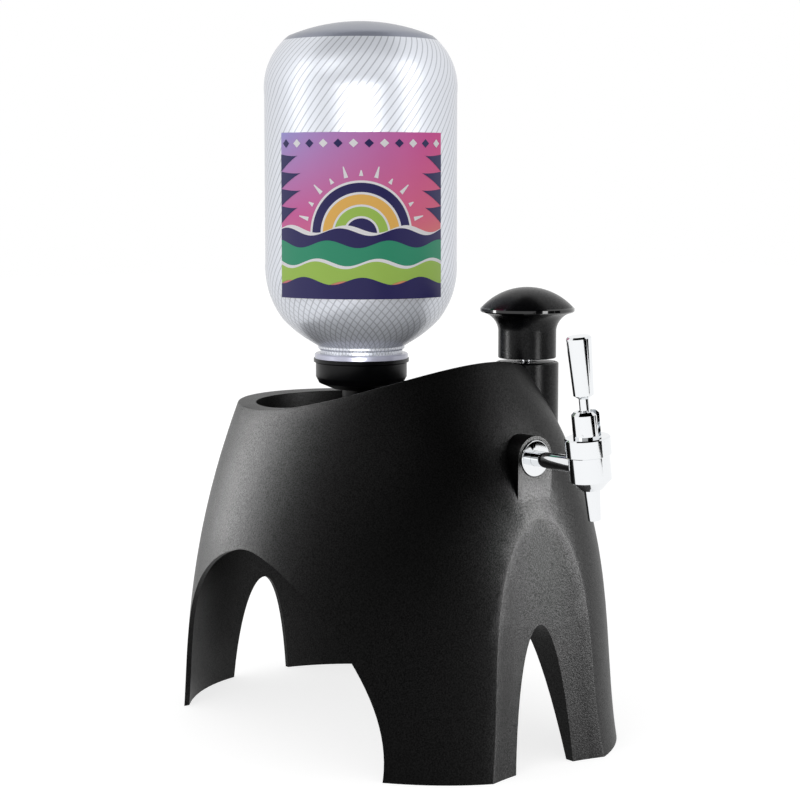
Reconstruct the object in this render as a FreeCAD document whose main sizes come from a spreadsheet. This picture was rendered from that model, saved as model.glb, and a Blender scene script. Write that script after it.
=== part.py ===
import FreeCAD, Part
import math
import os
import re
import Sketcher

# Counter-top drink dispenser: a four-legged domed stand with a well for an inverted
# keg, a hand air pump behind the crest and a lever tap on the front pad.
# Millimetres, +Z up, +X to the front (the tap side).

V = FreeCAD.Vector
os.makedirs("parts", exist_ok=True)
doc = FreeCAD.newDocument("dispenser")
sheet = doc.addObject("Spreadsheet::Sheet", "Sizes")

DIMENSIONS = (
    ("keg_x", -58.4, "keg axis in the frame of the whole object"),
    ("wall_t", 3.6, "wall of the stand"),
    ("base_front", 217.6, "front of the base ellipse"),
    ("base_back", -138.9, "back of the base ellipse"),
    ("base_half", 141.8, "half width at the feet"),
    ("low_front", 207.6, "front at the low level"),
    ("low_back", -129.1, "back at the low level"),
    ("low_half", 135.5, "half width at the low level"),
    ("low_z", 90.0, "height of the low level"),
    ("mid_front", 193.6, "front at the middle level"),
    ("mid_back", -112.8, "back at the middle level"),
    ("mid_half", 120.3, "half width at the middle level"),
    ("mid_z", 170.0, "height of the middle level"),
    ("high_front", 176.4, "front at the high level"),
    ("high_back", -101.6, "back at the high level"),
    ("high_half", 103.4, "half width at the high level"),
    ("high_z", 215.0, "height of the high level"),
    ("crown_front", 141.9, "front of the top level"),
    ("crown_back", -88.3, "back of the top level"),
    ("crown_half", 71.6, "half width of the top level"),
    ("crown_z", 272.0, "height of the top level"),
    ("rim_z", 228.5, "level rim behind the keg"),
    ("rim_turn_x", -20.0, "where the rim starts to rise"),
    ("rim_arc_r", 364.0, "radius of the rising rim in side view"),
    ("rim_fillet", 1.6, "rounding of the rim edge"),
    ("side_arch_x", 38.5, "middle of the side arches"),
    ("side_arch_half", 121.0, "half span of the side arches at the floor"),
    ("side_arch_z", 138.5, "apex of the side arches"),
    ("side_arch_bulge", 0.6, "fullness of the side arches"),
    ("end_arch_flare", 1.22, "fullness of the end arches at the crown"),
    ("lip_wall", 2.4, "wall of the lips behind the end arches"),
    ("lip_foot", 5.0, "depth of the lips at the floor"),
    ("lip_crown", 27.0, "depth of the lips at the arch crown"),
    ("back_arch_half", 26.0, "half span of the back arch"),
    ("back_arch_z", 78.0, "apex of the back arch"),
    ("front_arch_half", 25.6, "half span of the front arch"),
    ("front_arch_z", 96.3, "apex of the front arch"),
    ("recess_r", 180.0, "hollow of the front panel"),
    ("recess_low_x", 199.2, "front panel at the floor"),
    ("recess_mid_x", 195.2, "front panel at the low level"),
    ("recess_top_x", 194.3, "front panel at its top"),
    ("recess_top_z", 170.0, "top of the front panel"),
    ("recess_fillet", 2.2, "rounding of the edge round the front panel"),
    ("pad_x", 189.0, "face of the tap pad"),
    ("pad_half", 14.8, "half width of the tap pad"),
    ("shank_z", 207.0, "height of the tap shank"),
    ("well_r", 77.0, "radius of the keg well"),
    ("well_wall", 2.6, "wall round the keg well"),
    ("well_z", 206.0, "joint between well wall and liner"),
    ("liner_t", 2.5, "wall of the well liner"),
    ("liner_floor_z", 196.0, "floor of the trough"),
    ("liner_floor_in", 52.0, "inner edge of the trough floor"),
    ("liner_floor_out", 70.0, "outer edge of the trough floor"),
    ("island_r", 31.0, "flat top of the centre seat"),
    ("island_z", 226.0, "height of the centre seat"),
    ("liner_screw_r", 83.5, "radius of the liner screws"),
    ("coupler_r", 13.85, "radius of the coupler head"),
    ("coupler_top_z", 246.0, "top of the coupler head"),
    ("coupler_base_z", 158.0, "bottom of the coupler body"),
    ("coupler_body_r", 15.0, "lower body of the coupler"),
    ("coupler_bore_r", 8.0, "air passage of the coupler"),
    ("air_port_z", 184.0, "height of the air port on the coupler"),
    ("spear_r", 5.0, "outside of the beer tube"),
    ("spear_bore_r", 3.2, "bore of the beer tube"),
    ("spear_top_z", 263.0, "top of the beer tube"),
    ("outlet_z", 152.0, "height of the beer outlet"),
    ("barb_r", 3.6, "hose barb"),
    ("hose_r", 5.4, "outside of the hoses"),
    ("hose_bore_r", 3.6, "bore of the hoses"),
    ("pump_x", 117.0, "pump axis, forward"),
    ("pump_y", 57.0, "pump axis, sideways"),
    ("pump_r", 22.1, "outside of the pump tube"),
    ("pump_bore_r", 19.9, "bore of the pump tube"),
    ("pump_top_z", 262.7, "top of the pump tube"),
    ("pump_base_z", 160.0, "bottom of the pump tube"),
    ("sleeve_t", 3.2, "wall of the pump sleeve"),
    ("sleeve_z", 204.0, "bottom of the pump sleeve"),
    ("skirt_r", 20.3, "skirt of the pump knob"),
    ("skirt_gap", 2.8, "knob skirt above the pump tube"),
    ("skirt_h", 19.5, "height of the knob skirt"),
    ("lip_r", 33.1, "widest radius of the knob"),
    ("flare_h", 12.4, "height of the flare of the knob"),
    ("lip_h", 3.6, "height of the lip ring"),
    ("crown_h", 14.0, "height of the knob crown"),
    ("rod_r", 4.0, "plunger rod"),
    ("piston_rise", 10.0, "piston at rest above the pump foot"),
    ("piston_h", 8.0, "height of the piston"),
    ("tap_x", 241.0, "axis of the tap"),
    ("tap_lean", 7.5, "lean of the tap round its shank"),
    ("tap_turn", 33.0, "turn of the bonnet round the tap axis"),
    ("tap_body_r", 13.55, "lower body of the tap"),
    ("tap_collar_r", 14.8, "upper ring of the tap"),
    ("tap_seam_z", 7.9, "seam of the tap body above the shank axis"),
    ("tap_collar_top", 20.1, "top of the upper ring"),
    ("tap_body_low", -8.3, "start of the lower chamfer"),
    ("tap_body_end", -14.4, "underside of the tap body"),
    ("tap_chamber_r", 9.4, "chamber of the tap"),
    ("nozzle_end", -35.1, "tip of the nozzle"),
    ("nozzle_r", 5.45, "nozzle at its root"),
    ("nozzle_tip_r", 4.15, "nozzle at its tip"),
    ("bonnet_r", 9.0, "radius of the bonnet"),
    ("bonnet_top", 36.8, "top of the bonnet"),
    ("bonnet_seat", 15.2, "seat of the bonnet in the ring"),
    ("slot_w", 7.4, "width of the lever slot"),
    ("pin_z", 23.6, "height of the lever pin"),
    ("pin_r", 1.25, "radius of the lever pin"),
    ("cam_r", 3.4, "radius of the lever foot"),
    ("cam_e", 2.2, "offset of the lifting cam"),
    ("neck_r", 3.4, "neck of the lever"),
    ("grip_low", 46.4, "bottom of the lever grip"),
    ("grip_top", 85.2, "top of the lever grip"),
    ("grip_low_r", 6.6, "grip radius at the bottom"),
    ("grip_top_r", 8.15, "grip radius at the top"),
    ("stem_r", 2.0, "valve stem"),
    ("keg_r", 69.4, "radius of the keg"),
    ("keg_wall", 1.2, "wall of the keg"),
    ("keg_neck_r", 29.9, "neck of the keg"),
    ("keg_shoulder_h", 71.1, "end of the lower shoulder above the cap"),
    ("keg_bend_h", 52.0, "height of the upper bend and crown"),
    ("keg_top_z", 502.0, "top of the keg"),
    ("keg_root_out", 6.1, "start of the lower shoulder, out from the neck"),
    ("keg_root_h", 11.8, "start of the lower shoulder above the cap"),
    ("keg_swell_in", 12.4, "middle of the lower shoulder, in from the wall"),
    ("keg_swell_h", 28.6, "middle of the lower shoulder above the cap"),
    ("keg_crown_in", 17.4, "edge of the flat crown, in from the wall"),
    ("keg_crown_drop", 10.5, "drop of the crown edge"),
    ("label_drop", 80.0, "label below the top of the keg"),
    ("label_h", 115.0, "height of the label"),
    ("label_gap", 0.25, "glue line behind the label"),
    ("label_t", 0.25, "film of the label"),
    ("label_angle", 106.0, "arc that the label covers"),
    ("label_turn", -90.0, "first edge of the label"),
    ("cap_r", 33.2, "body of the keg cap"),
    ("cap_z", 238.0, "underside of the keg cap"),
    ("cap_h", 22.4, "height of the keg cap"),
)
for row, (name, size, note) in enumerate(DIMENSIONS, 1):
    sheet.set("A%d" % row, name)
    sheet.set("B%d" % row, repr(size))
    sheet.set("C%d" % row, note)
    sheet.setAlias("B%d" % row, name)
doc.recompute()
NAMES = {name for name, _, _ in DIMENSIONS}


def size(name):
    """Value of one named size from the sheet."""
    return float(sheet.get(name))


SKIRT = "pump_top_z + skirt_gap"
FLARE = SKIRT + " + skirt_h"
LIP = FLARE + " + flare_h"
LIP_TOP = LIP + " + lip_h"
KNOB_TOP = LIP_TOP + " + crown_h"
PISTON = "pump_base_z + piston_rise"
CAP_TOP = "cap_z + cap_h"
BEND = "keg_top_z - keg_bend_h"
LABEL_TOP = "keg_top_z - label_drop"
TERM = re.compile(r"([+-]?)\s*([A-Za-z_][A-Za-z_0-9]*|[0-9.]+)(?:\s*([*/])\s*([A-Za-z_][A-Za-z_0-9]*|[0-9.]+))?")


def value(rule):
    """Number that a rule such as 'wall_t + 2*gap' stands for."""
    total = 0.0
    for sign, first, join, second in TERM.findall(str(rule)):
        term = size(first) if first in NAMES else float(first)
        if join:
            other = size(second) if second in NAMES else float(second)
            term = term * other if join == "*" else term / other
        total += -term if sign == "-" else term
    return total


def bound(rule):
    """The same rule with the sizes written as sheet references."""
    return re.sub(r"[A-Za-z_][A-Za-z_0-9]*", lambda m: "Sizes." + m.group(0), str(rule))


def plane_of(body, role):
    """Origin plane of a body, found by its role."""
    for item in body.Origin.OriginFeatures:
        if item.Role == role:
            return item
    raise ValueError(role)


def locate(item, x="keg_x", y="0", z="0"):
    """Bind the place of an upright part to the sheet."""
    for axis, rule in zip("xyz", (x, y, z)):
        if str(rule) != "0":
            item.setExpression("Placement.Base." + axis, bound(rule))


def cap_radius(a, b):
    """Radius of the arc between two points whose centre lies on the turning axis."""
    wide, rise = max(abs(a.x), abs(b.x)), abs(a.y - b.y)
    return (wide ** 2 + rise ** 2) / (2 * rise)


def outline(body, label, points, role="XZ_Plane", curves=None):
    """Closed sketch through points (u rule, v rule); curves maps an edge to a radius rule."""
    curves = curves or {}
    sketch = body.newObject("Sketcher::SketchObject", label)
    sketch.AttachmentSupport = [(plane_of(body, role), "")]
    sketch.MapMode = "FlatFace"
    at = [V(value(u), value(v), 0) for u, v in points]
    count = len(at)
    for i in range(count):
        a, b = at[i], at[(i + 1) % count]
        if i in curves:
            plain = curves[i].lstrip("-")
            radius = cap_radius(at[i], at[(i + 1) % count]) if plain == "cap" else value(plain)
            side = -1.0 if curves[i].startswith("-") else 1.0
            chord = b - a
            across = V(-chord.y, chord.x, 0)
            across.normalize()
            rise = math.sqrt(max(radius ** 2 - chord.Length ** 2 / 4, 0.0))
            centre = (a + b) * 0.5 + across * side * rise
            mid = (a + b) * 0.5 - centre
            mid.normalize()
            first, last = (a, b) if side > 0 else (b, a)
            sketch.addGeometry(Part.Arc(first, centre + mid * radius, last), False)
        else:
            sketch.addGeometry(Part.LineSegment(a, b), False)

    def end_of(index, first):
        """Sketch point at the start or end of a run edge; arcs are stored anticlockwise."""
        swapped = index in curves and curves[index].startswith("-")
        return (2 if swapped else 1) if first else (1 if swapped else 2)

    for i in range(count):
        j = (i + 1) % count
        sketch.addConstraint(Sketcher.Constraint("Coincident", i, end_of(i, False), j, end_of(j, True)))
    for i, (u, v) in enumerate(points):
        spot = end_of(i, True)
        for kind, rule, tag, now in (("DistanceX", u, "u", at[i].x), ("DistanceY", v, "v", at[i].y)):
            if str(rule) == "0":
                line = -2 if kind == "DistanceX" else -1
                sketch.addConstraint(Sketcher.Constraint("PointOnObject", i, spot, line))
                continue
            sketch.addConstraint(Sketcher.Constraint(kind, -1, 1, i, spot, now))
            key = "%s%d" % (tag, i)
            sketch.renameConstraint(sketch.ConstraintCount - 1, key)
            sketch.setExpression("Constraints." + key, bound(rule))
    for i, rule in curves.items():
        if "cap" in rule:
            sketch.addConstraint(Sketcher.Constraint("PointOnObject", i, 3, -2))
            continue
        sketch.addConstraint(Sketcher.Constraint("Radius", i, value(rule.lstrip("-"))))
        key = "bend%d" % i
        sketch.renameConstraint(sketch.ConstraintCount - 1, key)
        sketch.setExpression("Constraints." + key, bound(rule.lstrip("-")))
    return sketch


def turned(label, points, curves=None, angle=None):
    """Body of revolution about Z from its half section (radius rule, height rule)."""
    body = doc.addObject("PartDesign::Body", label)
    body.Label = label
    sketch = outline(body, label + "_section", points, curves=curves)
    turn = body.newObject("PartDesign::Revolution", label + "_turn")
    turn.Profile = sketch
    turn.ReferenceAxis = (sketch, ["V_Axis"])
    turn.Angle = 360.0
    if angle:
        turn.setExpression("Angle", bound(angle))
    sketch.Visibility = False
    doc.recompute()
    return body


def made(label, shape, at=None):
    """Part whose shape is worked out by functions from the sheet."""
    item = doc.addObject("Part::Feature", label)
    item.Label = label
    if not shape.Placement.isIdentity():
        shape = shape.cut(Part.makeBox(1, 1, 1, V(0, 0, -900)))
    item.Shape = shape
    if at is not None:
        item.Placement = at
    return item


def rod(radius, length, at, along=V(0, 0, 1)):
    """Plain round bar."""
    return Part.makeCylinder(radius, length, at, along)


def bent(corners, radius):
    """Path of straight runs joined by tangent arcs."""
    edges, start = [], corners[0]
    for before, corner, after in zip(corners, corners[1:], corners[2:]):
        into, out = corner - before, after - corner
        into.normalize()
        out.normalize()
        turn = math.acos(max(-1.0, min(1.0, into.dot(out))))
        reach = radius * math.tan(turn / 2)
        first, last = corner - into * reach, corner + out * reach
        inward = out - into
        inward.normalize()
        centre = corner + inward * (radius / math.cos(turn / 2))
        mid = corner - centre
        mid.normalize()
        edges.append(Part.LineSegment(start, first).toShape())
        edges.append(Part.Arc(first, centre + mid * radius, last).toShape())
        start = last
    edges.append(Part.LineSegment(start, corners[-1]).toShape())
    return Part.Wire(edges)


def piped(path, radius, bore):
    """Tube along a path."""
    first = path.Edges[0]
    at, along = first.valueAt(first.FirstParameter), first.tangentAt(first.FirstParameter)
    skins = []
    for r in (radius, bore):
        ring = Part.Wire(Part.makeCircle(r, at, along))
        skins.append(path.makePipeShell([ring], True, False))
    return skins[0].cut(skins[1])


# Stand
LEVELS = (("base", 0.0), ("low", size("low_z")), ("mid", size("mid_z")),
          ("high", size("high_z")), ("crown", size("crown_z")))


def dome(inset):
    """Solid through the elliptical levels, each drawn in by the inset."""
    rings = []
    for name, height in LEVELS:
        front, back = size(name + "_front"), size(name + "_back")
        centre = V((front + back) / 2, 0, height)
        rear = centre - V((front - back) / 2 - inset, 0, 0)
        side = centre - V(0, size(name + "_half") - inset, 0)
        rings.append(Part.Wire(Part.Ellipse(rear, side, centre).toShape()))
    return Part.makeLoft(rings, True, False)


def above_rim(drop):
    """Block over the rim line: level behind, rising on an arc to the front."""
    level, turn_x, radius = size("rim_z") - drop, size("rim_turn_x"), size("rim_arc_r") + drop
    reach = 230.0

    def on_arc(x):
        """Point of the rim arc at a forward place."""
        return V(x, -300, level + radius - math.sqrt(radius ** 2 - (x - turn_x) ** 2))

    start, end = V(-400, -300, level), on_arc(turn_x + reach)
    edges = [Part.LineSegment(start, on_arc(turn_x)).toShape(),
             Part.Arc(on_arc(turn_x), on_arc(turn_x + reach / 2), end).toShape(),
             Part.LineSegment(end, V(end.x, -300, 500)).toShape(),
             Part.LineSegment(V(end.x, -300, 500), V(-400, -300, 500)).toShape(),
             Part.LineSegment(V(-400, -300, 500), start).toShape()]
    return Part.Face(Part.Wire(edges)).extrude(V(0, 600, 0))


def broad(drop):
    """Half width of a side arch at a share of its height below the crown."""
    return (drop * (2 - drop)) ** size("side_arch_bulge")


def slim(drop):
    """Half width of an end arch at a share of its height below the crown."""
    flare = size("end_arch_flare")
    return math.sqrt(drop) * (flare - (flare - 1) * drop)


def arch(half, apex, across, law, up=V(0, 0, 1), low=-20.0, steps=9):
    """Closed arch outline about the origin, 'across' being its sideways direction."""
    crown = []
    for i in range(-steps, steps + 1):
        drop = 1 - math.cos(math.radians(90.0 * i / steps))
        wide = half * law(drop) * (1 if i > 0 else -1)
        crown.append(across * wide + up * (apex * (1 - drop)))
    curve = Part.BSplineCurve()
    curve.interpolate(crown)
    left, right = crown[0] + up * low, crown[-1] + up * low
    edges = [curve.toShape(), Part.LineSegment(crown[-1], right).toShape(),
             Part.LineSegment(right, left).toShape(), Part.LineSegment(left, crown[0]).toShape()]
    return Part.Face(Part.Wire(edges))


def lip(half, apex, foot_x, crown_x, outside_x):
    """Lip behind an end arch, its inner edge slanting from the foot to the crown."""
    wall = size("lip_wall")
    slope = (crown_x - foot_x) / apex
    low, high = -30.0, apex + 3 * wall
    corners = [V(outside_x, 0, low), V(foot_x + slope * low, 0, low),
               V(foot_x + slope * high, 0, high), V(outside_x, 0, high), V(outside_x, 0, low)]
    depth = Part.Face(Part.makePolygon(corners)).extrude(V(0, 2 * (half + wall), 0))
    depth.translate(V(0, -half - wall, 0))
    side = arch(half + wall, apex + wall, V(0, 1, 0), slim)
    reach = outside_x - crown_x
    side.translate(V(crown_x, 0, 0))
    return side.extrude(V(reach, 0, 0)).common(depth)


def front_hollow(back=0.0):
    """Room in front of the concave panel."""
    radius = size("recess_r")
    rows = (("recess_low_x", 0.0), ("recess_mid_x", size("low_z")),
            ("recess_top_x", size("recess_top_z") + 14))
    wires = []
    for name, height in rows:
        x, half = size(name) - back, 75.0
        sag = radius - math.sqrt(radius ** 2 - half ** 2)
        left, right = V(x + sag, -half, height), V(x + sag, half, height)
        far = V(x + 90, 0, 0)
        edges = [Part.Arc(left, V(x, 0, height), right).toShape(),
                 Part.LineSegment(right, V(far.x, half, height)).toShape(),
                 Part.LineSegment(V(far.x, half, height), V(far.x, -half, height)).toShape(),
                 Part.LineSegment(V(far.x, -half, height), left).toShape()]
        wires.append(Part.Wire(edges))
    return Part.makeLoft(wires, True, False)


def pad_block(inset, front, back, low):
    """Arch-topped block of the tap pad between two forward places."""
    half, centre_z = size("pad_half") - inset, size("shank_z")
    edges = [Part.LineSegment(V(back, -half, low), V(back, -half, centre_z)).toShape(),
             Part.Arc(V(back, -half, centre_z), V(back, 0, centre_z + half),
                      V(back, half, centre_z)).toShape(),
             Part.LineSegment(V(back, half, centre_z), V(back, half, low)).toShape(),
             Part.LineSegment(V(back, half, low), V(back, -half, low)).toShape()]
    return Part.Face(Part.Wire(edges)).extrude(V(front - back, 0, 0))


def rounded(shape, radius, chosen):
    """Shape with the chosen edges rounded."""
    return shape.makeFillet(radius, [e for e in shape.Edges if chosen(e)])


def stand():
    """Whole moulding of the stand."""
    wall = size("wall_t")
    pad_x, shank_z = size("pad_x"), size("shank_z")
    pump = V(size("pump_x"), size("pump_y"), 0)
    outer = dome(0.0).cut(above_rim(0.0))
    outer = rounded(outer, size("rim_fillet"),
                    lambda e: e.BoundBox.ZMin > size("rim_z") - 1 and e.BoundBox.YLength > 20)
    outer = outer.cut(front_hollow())
    outer = rounded(outer, size("recess_fillet"),
                    lambda e: e.BoundBox.ZLength > 100 and e.BoundBox.YLength > 60)
    outer = outer.fuse(pad_block(0.0, pad_x, pad_x - 50, shank_z - 32).cut(front_hollow()))
    hollow = dome(wall).cut(above_rim(wall)).cut(front_hollow(wall))
    hollow = hollow.fuse(pad_block(4.0, pad_x - 4.6, pad_x - 50, shank_z - 15))
    hollow = hollow.cut(rod(size("well_r") + size("well_wall"), 200,
                            V(0, 0, size("well_z"))))
    for angle in (45, 135, 225, 315):
        spot = V(size("liner_screw_r"), 0, size("well_z"))
        spot = FreeCAD.Rotation(V(0, 0, 1), angle).multVec(spot)
        hollow = hollow.cut(rod(4.0, 200, spot))
    sleeve = rod(size("pump_r") + size("sleeve_t"), 200, pump + V(0, 0, size("sleeve_z")))
    hollow = hollow.cut(sleeve)
    hollow = hollow.cut(lip(size("front_arch_half"), size("front_arch_z"),
                            size("recess_low_x") - size("lip_foot"),
                            size("recess_mid_x") - size("lip_crown"), size("base_front")))
    hollow = hollow.cut(lip(size("back_arch_half"), size("back_arch_z"),
                            size("base_back") + size("lip_foot"),
                            size("low_back") + size("lip_crown"), size("base_back")))
    shell = outer.cut(hollow)
    shell = shell.cut(rod(size("well_r"), 200, V(0, 0, size("well_z") - 0.01)))
    shell = shell.cut(rod(size("pump_r") + 0.05, 200, pump + V(0, 0, size("sleeve_z") - 1)))
    side = arch(size("side_arch_half"), size("side_arch_z"), V(1, 0, 0), broad)
    side.translate(V(size("side_arch_x"), -250, 0))
    shell = shell.cut(side.extrude(V(0, 500, 0)))
    back = arch(size("back_arch_half"), size("back_arch_z"), V(0, 1, 0), slim)
    back.translate(V(-260, 0, 0))
    shell = shell.cut(back.extrude(V(200, 0, 0)))
    front = arch(size("front_arch_half"), size("front_arch_z"), V(0, 1, 0), slim)
    front.translate(V(150, 0, 0))
    shell = shell.cut(front.extrude(V(120, 0, 0)))
    ahead = V(1, 0, 0)
    shell = shell.cut(rod(12.7, 20, V(pad_x - 1.2, 0, shank_z), ahead))
    shell = shell.cut(rod(5.2, 60, V(pad_x - 40, 0, shank_z), ahead))
    for angle in (45, 135, 225, 315):
        spot = V(size("liner_screw_r"), 0, size("well_z") - 1)
        spot = FreeCAD.Rotation(V(0, 0, 1), angle).multVec(spot)
        shell = shell.cut(rod(1.6, 11, spot))
    pieces = sorted(shell.Solids, key=lambda s: s.Volume)
    return pieces[-1]


def keep(label, shape, x="keg_x", y="0", z="0"):
    """Functional part placed upright by sheet rules."""
    item = made(label, shape)
    locate(item, x, y, z)
    return item


def spun(label, points, x="keg_x", y="0", z="0", **more):
    """Turned part placed upright by sheet rules."""
    body = turned(label, points, **more)
    locate(body, x, y, z)
    return body


base_shell = keep("base_shell", stand())

# Keg well and coupler
liner = turned("well_liner_core", (
    ("liner_screw_r + 4.5", "well_z - 3"), ("liner_screw_r + 4.5", "well_z"),
    ("well_r - 1", "well_z"), ("liner_floor_out", "liner_floor_z"),
    ("liner_floor_in", "liner_floor_z"), ("island_r", "island_z"), ("coupler_r", "island_z"),
    ("coupler_r", "island_z - liner_t"), ("island_r - 1.4", "island_z - liner_t"),
    ("liner_floor_in - 1.4", "liner_floor_z - liner_t"),
    ("liner_floor_out + 1.4", "liner_floor_z - liner_t"), ("well_r + 0.6", "well_z - 3")))
holes = []
for i, angle in enumerate((45, 135, 225, 315)):
    hole = doc.addObject("Part::Cylinder", "liner_hole_%d" % i)
    hole.Radius, hole.Height = 1.7, 10
    spot = FreeCAD.Rotation(V(0, 0, 1), angle).multVec(V(size("liner_screw_r"), 0, size("well_z") - 6))
    hole.Placement.Base = spot
    turn = math.radians(angle)
    hole.setExpression("Placement.Base.x", "Sizes.liner_screw_r * %.6f" % math.cos(turn))
    hole.setExpression("Placement.Base.y", "Sizes.liner_screw_r * %.6f" % math.sin(turn))
    hole.setExpression("Placement.Base.z", "Sizes.well_z - 6")
    holes.append(hole)
drills = doc.addObject("Part::MultiFuse", "liner_holes")
drills.Shapes = holes
well_liner = doc.addObject("Part::Cut", "well_liner")
well_liner.Label = "well_liner"
well_liner.Base, well_liner.Tool = liner, drills
locate(well_liner)


def liner_screws():
    """Four pan-head screws, driven up through the liner rim."""
    solids = []
    for angle in (45, 135, 225, 315):
        spot = V(size("liner_screw_r"), 0, size("well_z") - 3)
        spot = FreeCAD.Rotation(V(0, 0, 1), angle).multVec(spot)
        head = rod(3.1, 2.2, spot - V(0, 0, 2.2))
        cross = Part.makeBox(4.4, 0.9, 1.2, spot + V(-2.2, -0.45, -2.2))
        other = Part.makeBox(0.9, 4.4, 1.2, spot + V(-0.45, -2.2, -2.2))
        solids.append(head.fuse(rod(1.6, 12.4, spot)).cut(cross).cut(other))
    return Part.makeCompound(solids)


keep("liner_screws", liner_screws())


def coupler():
    """Coupler body with its air gallery, side port and clamping shoulder."""
    top, base, port = size("coupler_top_z"), size("coupler_base_z"), size("air_port_z")
    seat = size("island_z") - size("liner_t")
    low_r = size("coupler_body_r")
    body = rod(low_r, seat - base, V(0, 0, base)).fuse(rod(size("coupler_r"), top - base, V(0, 0, base)))
    body = body.fuse(rod(low_r + 4.5, 4, V(0, 0, seat - 4)))
    body = body.makeChamfer(1.2, [e for e in body.Edges if e.BoundBox.ZMin > top - 0.1])
    aim = V(size("pump_x"), size("pump_y"), 0)
    aim.normalize()
    barb = rod(size("barb_r"), low_r + 13, V(0, 0, port), aim)
    for step in (4, 8, 12):
        barb = barb.fuse(Part.makeCone(size("barb_r") + 0.0, size("barb_r") - 0.45, 2.6,
                                       V(0, 0, port) + aim * (low_r + step - 3), aim))
    body = body.fuse(barb)
    body = body.cut(rod(size("coupler_bore_r"), 200, V(0, 0, base + 14)))
    body = body.cut(rod(size("spear_r"), 40, V(0, 0, base - 1)))
    return body.cut(rod(size("barb_r") - 1.4, low_r + 30, V(0, 0, port) + aim * 6, aim))


keep("coupler_body", coupler())
spun("coupler_nut", (("coupler_r", "island_z"), ("coupler_r + 4.6", "island_z"),
                     ("coupler_r + 4.6", "island_z + 2.6"), ("coupler_r + 3.6", "island_z + 3.6"),
                     ("coupler_r", "island_z + 3.6")))
spun("coupler_seal", (("coupler_bore_r + 0.8", "coupler_top_z"), ("coupler_r - 1.6", "coupler_top_z"),
                      ("coupler_r - 1.6", "coupler_top_z + 1.4"), ("coupler_r - 2.2", "coupler_top_z + 2"),
                      ("coupler_bore_r + 1.4", "coupler_top_z + 2"),
                      ("coupler_bore_r + 0.8", "coupler_top_z + 1.4")))


def spear():
    """Beer tube with a pointed, side-drilled tip and a foot flange."""
    low, top = size("coupler_base_z"), size("spear_top_z")
    tube = rod(size("spear_r"), top - 6 - low, V(0, 0, low))
    tube = tube.fuse(Part.makeCone(size("spear_r"), 1.6, 6, V(0, 0, top - 6)))
    tube = tube.fuse(rod(size("coupler_bore_r") - 0.05, 2, V(0, 0, low + 14)))
    tube = tube.cut(rod(size("spear_bore_r"), top - 9 - low, V(0, 0, low - 1)))
    for angle in (0, 90):
        aim = FreeCAD.Rotation(V(0, 0, 1), angle + 20).multVec(V(1, 0, 0))
        tube = tube.cut(rod(1.5, 20, V(0, 0, top - 12.5) - aim * 10, aim))
    return tube


keep("spear", spear())


def outlet():
    """Elbow under the coupler that turns the beer to the front."""
    low, mid = size("coupler_base_z"), size("outlet_z")
    elbow = rod(size("coupler_body_r") - 4, low - mid + 6, V(0, 0, mid - 6))
    elbow = elbow.fuse(rod(size("barb_r"), size("coupler_body_r") + 13, V(0, 0, mid), V(1, 0, 0)))
    elbow = elbow.cut(rod(size("spear_bore_r"), low - mid + 2, V(0, 0, mid)))
    return elbow.cut(rod(size("barb_r") - 1.2, 60, V(0, 0, mid), V(1, 0, 0)))


keep("beer_elbow", outlet())
spun("air_valve", (("spear_r + 0.3", "air_port_z + 8"), ("coupler_bore_r", "air_port_z + 8"),
                   ("coupler_bore_r", "air_port_z + 10"), ("spear_r + 1.2", "air_port_z + 10"),
                   ("spear_r + 0.9", "air_port_z + 14"), ("spear_r + 0.3", "air_port_z + 14")))


# Hoses
def air_path():
    """Line of the air hose from the coupler to the pump foot."""
    aim = V(size("pump_x"), size("pump_y"), 0)
    reach = aim.Length
    aim.normalize()
    start, end = size("coupler_body_r") + 1, reach - size("pump_r") - 1
    high, low = size("air_port_z"), size("pump_base_z") - 6
    up = V(0, 0, 1)
    corners = [aim * start + up * high, aim * (start + 24) + up * high,
               aim * (end - 24) + up * low, aim * end + up * low]
    return bent(corners, 30.0)


def beer_path():
    """Line of the beer hose from the elbow to the shank tail."""
    up, ahead = V(0, 0, 1), V(1, 0, 0)
    start, end = size("coupler_body_r") + 1, size("pad_x") - 34
    low, high = size("outlet_z"), size("shank_z")
    corners = [ahead * start + up * low, ahead * (start + 52) + up * low,
               ahead * (end - 34) + up * high, ahead * end + up * high]
    return bent(corners, 34.0)


keep("air_hose", piped(air_path(), size("hose_r"), size("hose_bore_r")))
keep("beer_hose", piped(beer_path(), size("hose_r"), size("hose_bore_r")))


def clips():
    """Four hose clips, each a band with a pinched ear."""
    solids = []
    for path in (air_path(), beer_path()):
        for edge, near in ((path.Edges[0], 6.0), (path.Edges[-1], path.Edges[-1].Length - 6.0)):
            spot = edge.valueAt(edge.getParameterByLength(near))
            along = edge.tangentAt(edge.FirstParameter)
            band = rod(size("hose_r") + 0.9, 5, spot - along * 2.5, along)
            ear = Part.makeBox(2.4, 2.6, 5)
            ear.translate(V(-1.2, size("hose_r") + 0.3, -2.5))
            ear.Placement = FreeCAD.Placement(spot, FreeCAD.Rotation(V(0, 0, 1), along)).multiply(ear.Placement)
            band = band.fuse(ear).cut(rod(size("hose_r"), 9, spot - along * 4.5, along))
            solids.append(band)
    return Part.makeCompound(solids)


keep("hose_clips", clips())

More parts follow.
